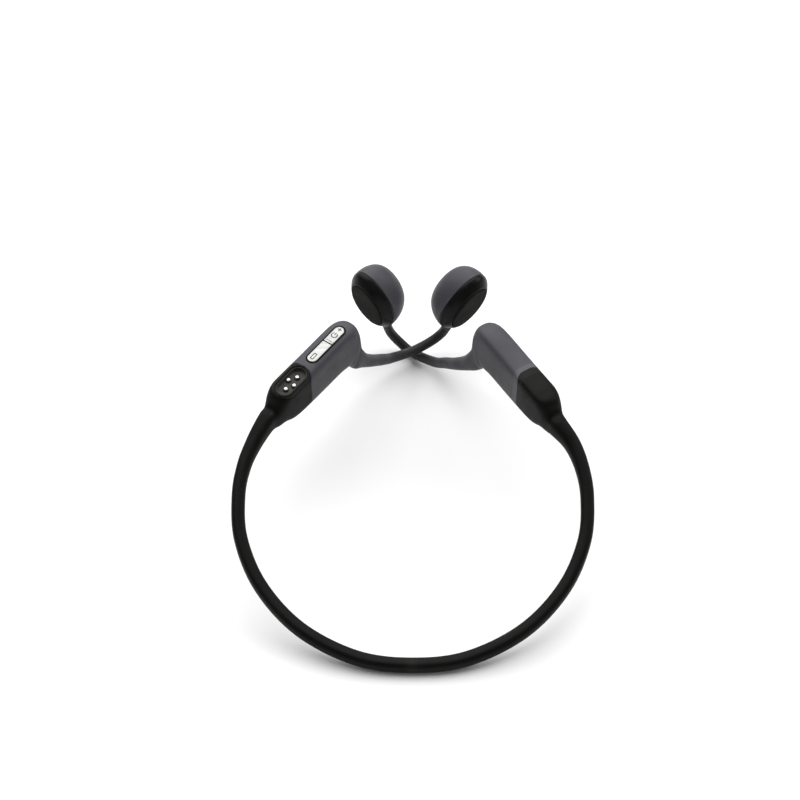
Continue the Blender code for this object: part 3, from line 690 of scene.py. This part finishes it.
def key_outline(front, inset, arc_steps=20, edge_steps=6):
    """Half of the key strip's outline, moved in by inset."""
    width = KEY_HALF_WIDTH - inset
    edge = KEY_DIVIDE + (KEY_GAP / 2 if front else -KEY_GAP / 2)
    sign = 1.0 if front else -1.0
    near = edge + sign * inset
    centre = sign * (KEY_HALF_LENGTH - KEY_HALF_WIDTH)
    points = []
    for k in range(edge_steps):
        points.append((near + (centre - near) * k / edge_steps, -width * sign))
    for k in range(arc_steps + 1):
        angle = -math.pi / 2 + math.pi * k / arc_steps
        points.append((centre + sign * width * math.cos(angle), sign * width * math.sin(angle)))
    for k in range(edge_steps):
        points.append((centre + (near - centre) * (k + 1) / edge_steps, width * sign))
    return points


def inset_at(x, y, front):
    """Distance of a point on a key from the key's outline."""
    sign = 1.0 if front else -1.0
    centre = sign * (KEY_HALF_LENGTH - KEY_HALF_WIDTH)
    side = KEY_HALF_WIDTH - abs(y)
    if (x - centre) * sign > 0:
        side = KEY_HALF_WIDTH - math.hypot(x - centre, y)
    return min(side, abs(x - KEY_DIVIDE) - KEY_GAP / 2)


def ribbon(name, matrix, path, width, front, closed=False):
    """A thin engraved line on a key, following the key's crown."""
    path = np.asarray(path, float)
    ahead = np.roll(path, -1, 0) if closed else np.vstack([path[1:], path[-1] * 2 - path[-2]])
    behind = np.roll(path, 1, 0) if closed else np.vstack([path[0] * 2 - path[1], path[:-1]])
    rings = []
    for p, a, b in zip(path, ahead, behind):
        along = unit(a - b)
        across = np.array([-along[1], along[0]]) * width / 2
        ring = []
        for side, rise in ((1, -0.06), (1, 0.0), (0.7, 0.018), (-0.7, 0.018), (-1, 0.0), (-1, -0.06)):
            x, y = p + across * side
            ring.append((x, y, crown_height(inset_at(x, y, front)) + rise))
        rings.append(placed(matrix, ring))
    thing = loft(name, rings, "key_mark", closed=closed)
    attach(thing, "plus_key" if front else "minus_key")
    return thing


def straight(start, end, pieces=6):
    start, end = np.array(start), np.array(end)
    return [tuple(start + (end - start) * k / pieces) for k in range(pieces + 1)]


def build_keys(half, pod_skin):
    top = half.matrix(KEY_CENTRE_U, KEY_CENTRE_V, POD_TOP)
    slot_length, slot_width = KEY_HALF_LENGTH + KEY_SLOT, KEY_HALF_WIDTH + KEY_SLOT
    cutter = loft("slot_cutter", stadium_rings(top, slot_length, slot_width, [(0.0, -2.2), (0.0, 2.5)]),
                  "case_plastic")
    cut(pod_skin, cutter)
    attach(lip("key_slot_lip", half, KEY_CENTRE_U, KEY_CENTRE_V, slot_length + 0.06,
                slot_width + 0.06, 0.16, 0.10, "grey_silicone"), "right_half")
    rim = [(0.05, -1.0), (0.05, -0.10), (0.10, -0.03), (0.20, -0.01), (0.30, -0.06), (0.32, -0.2),
           (0.32, -1.0)]
    bezel = loft("key_frame", stadium_rings(top, slot_length, slot_width, rim), "black_trim",
                 closed=True, sharp=60)
    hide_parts("key_bezel")
    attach(bezel, "right_half")
    for front, node, body in ((True, "key_plus", "plus_key"), (False, "key_minus", "minus_key")):
        rings = [placed(top, [(x, y, height) for x, y in key_outline(front, inset)])
                 for inset, height in CROWN]
        cap = loft(node + "_cap", rings, "key_metal", sharp=50)
        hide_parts(node)
        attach(cap, body)
    ring_x, ring_r = 4.5, 0.98
    arc = [(ring_x + ring_r * math.cos(a), ring_r * math.sin(a))
           for a in np.linspace(math.radians(30), math.radians(330), 36)]
    ribbon("power_ring", top, arc, 0.34, True)
    ribbon("power_bar", top, straight((ring_x + 0.15, 0.0), (ring_x + 1.15, 0.0)), 0.34, True)
    ribbon("plus_long", top, straight((6.65, 0.0), (8.15, 0.0)), 0.34, True)
    ribbon("plus_cross", top, straight((7.4, -0.75), (7.4, 0.75)), 0.34, True)
    bar = [(-7.6, -0.5), (-5.2, -0.5), (-5.2, 0.5), (-7.6, 0.5)]
    outline = [p for start, end in zip(bar, bar[1:] + bar[:1]) for p in straight(start, end)[:-1]]
    ribbon("minus_outline", top, outline, 0.30, False, closed=True)
    ribbon("divider_line", top, straight((1.75, -1.65), (1.75, 1.65)), 0.20, True)


def build_port(half, tail_skin):
    top = half.matrix(PORT_CENTRE_U, PORT_CENTRE_V, POD_TOP - PORT_SINK, PORT_ROLL)
    opening = [(0.0, -3.4), (0.0, 2.5)]
    cutter = loft("port_cutter",
                  stadium_rings(top, PORT_HALF_LENGTH + 0.06, PORT_HALF_WIDTH + 0.06, opening),
                  "case_plastic")
    cut(tail_skin, cutter)
    ledge = [(-0.95, -0.75), (-1.0, -0.35), (-0.95, 0.02), (-0.75, 0.26), (-0.45, 0.34), (-0.18, 0.26),
             (-0.06, 0.06), (-0.05, -0.6)]
    border = loft("port_lip", stadium_rings(top, PORT_HALF_LENGTH, PORT_HALF_WIDTH, ledge),
                  "black_silicone", closed=True, sharp=60)
    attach(border, "right_half")
    wall = [(0.0, -2.5), (0.0, -0.14), (0.05, -0.04), (0.14, 0.0), (0.24, -0.03), (0.30, -0.12),
            (0.34, -0.4), (0.42, -1.3), (0.52, -1.5), (0.70, -1.58), (1.0, -1.60)]
    dish = loft("charge_recess", stadium_rings(top, PORT_HALF_LENGTH, PORT_HALF_WIDTH, wall),
                "dish_plastic", sharp=50)
    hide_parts("charge_dish")
    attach(dish, "right_half")
    for number, centre in enumerate(PINS, 1):
        ring = [(1.02, -1.70), (1.02, -1.52), (0.98, -1.46), (0.80, -1.46)]
        collar = turned("pin_collar_%d" % number, top, ring, "black_trim", centre)
        rows = [(0.76, -2.2), (0.76, -1.25)]
        rows += rounded_pairs((0.76, -1.1), (0.74, -0.78), (0.30, -0.72), 7)
        pin = turned("pin_%d" % number, top, rows + [(0.08, -0.71)], "pin_plating", centre)
        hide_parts("charge_pin_%d" % number)
        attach(pin, "right_half")
        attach(collar, "right_half")


# ---- assembly -----------------------------------------------------------------------------------
def split_blend(thing, side):
    """Bake a neckband piece's placement into its mesh, the same on either side."""
    if side == "left":
        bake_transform(thing)
    else:
        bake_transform(thing)


def build_side(side):
    half = Half(side)
    part_line = half.station_of_pod(PARTING_U)
    tail = skin(side + "_neckband_cover", half, 0.0, part_line, "black_silicone", seam_last=True)
    pod = skin(side + "_pod_cover", half, part_line, half.count - 1.0, "grey_silicone", seam_first=True)
    m, shell = build_transducer(side)
    if side == "right":
        build_keys(half, pod)
        build_port(half, tail)
    else:
        build_function_key(m, shell)
    for thing in (tail, pod):
        thing.data.shade_smooth()
        thing.data.set_sharp_from_angle(angle=math.radians(50))
    mark_tip_shade(pod, half)
    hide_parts(side + "_pod_skin")
    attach(pod, BODY[side])
    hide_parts(side + "_neckband_skin", side + "_nape_skin")
    split_blend(tail, side)
    stop = half.station_of_pod(STRAND_END_U)
    strands = (("wire", STRAND_LIFT, "spring_metal"), ("cable", -STRAND_LIFT, "cable_jacket"))
    for label, lift, look in strands:
        route = half.line(0.0, stop, 90, lift)
        strand = tube("neckband_%s_%s" % (label, side), route, STRAND_RADIUS, look)
        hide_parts("neckband_" + label)
        split_blend(strand, side)


def finish_inner_nodes():
    """The CAD pieces that stay, inside the skins, take the looks of their record slots."""
    slots = {row["node"]: row["material_slot"] for row in frame["record"]["subparts"]}
    for name, thing in frame["nodes"].items():
        if not thing.hide_render:
            dress(thing, slots[name])


def add_floor():
    bpy.ops.mesh.primitive_plane_add(size=6.0, location=(0.0, 0.0, -0.0002))
    floor = bpy.context.object
    floor.name = "floor"
    m = Nodes("studio_floor")
    m.colour(m.mix(m.ramp(m.noise(3.0, 2.0), 0.3, 0.7), (0.86, 0.86, 0.86), (0.88, 0.88, 0.88)))
    m.set(Roughness=0.9)
    floor.data.materials.append(m.material)


def add_light(name, place, size, power, colour=(1.0, 1.0, 1.0)):
    data = bpy.data.lights.new(name, "AREA")
    data.size = size
    data.energy = power
    data.color = colour
    light = bpy.data.objects.new(name, data)
    light.location = place
    toward = Vector((0.0, 0.0, 0.02)) - Vector(place)
    light.rotation_euler = toward.to_track_quat("-Z", "Y").to_euler()
    bpy.context.scene.collection.objects.link(light)


def add_studio():
    world = bpy.data.worlds.new("studio")
    world.use_nodes = True
    world.node_tree.nodes["Background"].inputs["Color"].default_value = (1.0, 1.0, 1.0, 1.0)
    world.node_tree.nodes["Background"].inputs["Strength"].default_value = 0.26
    bpy.context.scene.world = world
    bpy.context.scene.view_settings.view_transform = "Standard"
    add_light("overhead", (-0.25, 0.75, 1.20), 2.2, 44.0)
    add_light("side", (0.9, 0.25, 0.7), 0.6, 4.0)


def add_camera():
    """The photograph's view: from the nape side, 52 degrees above the table."""
    data = bpy.data.cameras.new("camera")
    data.sensor_width = 36.0
    data.lens = 97.21
    camera = bpy.data.objects.new("camera", data)
    camera.location = ((np.array([1.709, -373.183, 563.282]) - ORIGIN) * MM).tolist()
    camera.rotation_euler = [math.radians(angle) for angle in (40.847, 0.212, 0.507)]
    bpy.context.scene.collection.objects.link(camera)
    bpy.context.scene.camera = camera


for side_name in SIDE:
    build_side(side_name)
finish_inner_nodes()
add_floor()
add_studio()
add_camera()
